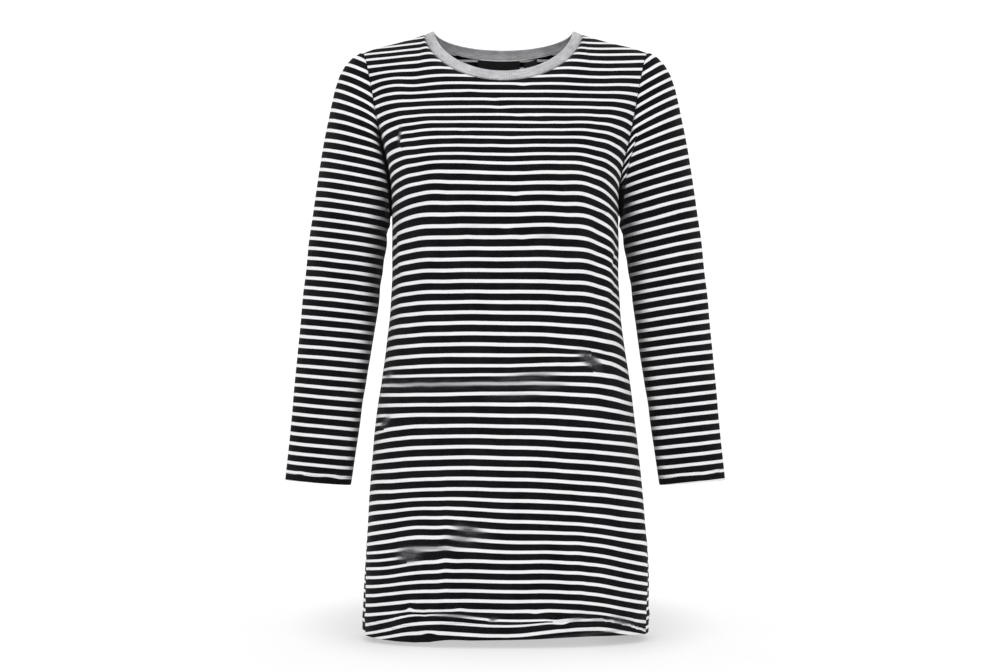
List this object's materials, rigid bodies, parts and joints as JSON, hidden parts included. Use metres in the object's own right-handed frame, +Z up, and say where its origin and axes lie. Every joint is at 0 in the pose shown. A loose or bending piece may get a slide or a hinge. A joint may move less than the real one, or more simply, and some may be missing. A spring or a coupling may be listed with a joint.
{
  "type": "long-sleeved jersey dress",
  "caption": "Long-sleeved striped jersey dress with a crew neck, filled out as when worn and hollow inside, open at the neck, hem and cuffs.",
  "frame": {"origin": "halfway between the two high points of the shoulders, in the plane of the shoulder seams, where the wearer's shoulders carry the dress", "axes": "+Z up towards the neck, -Y towards the front, +X towards the wearer's left"},
  "size_m": [0.6264, 0.2374, 0.8621],
  "materials": {
    "jersey": "soft matt single jersey, near black with white cross stripes every 15 mm",
    "grey_marl_rib": "matt light grey marl rib",
    "black_satin_label": "smooth black woven ribbon, bare"
  },
  "bodies": {
    "root": {"front_panel": "jersey", "back_panel": "jersey", "sleeve_left": "jersey", "sleeve_right": "jersey", "neck_band": "grey_marl_rib", "neck_label": "black_satin_label", "size_tab": "black_satin_label"}
  },
  "joints": []
}
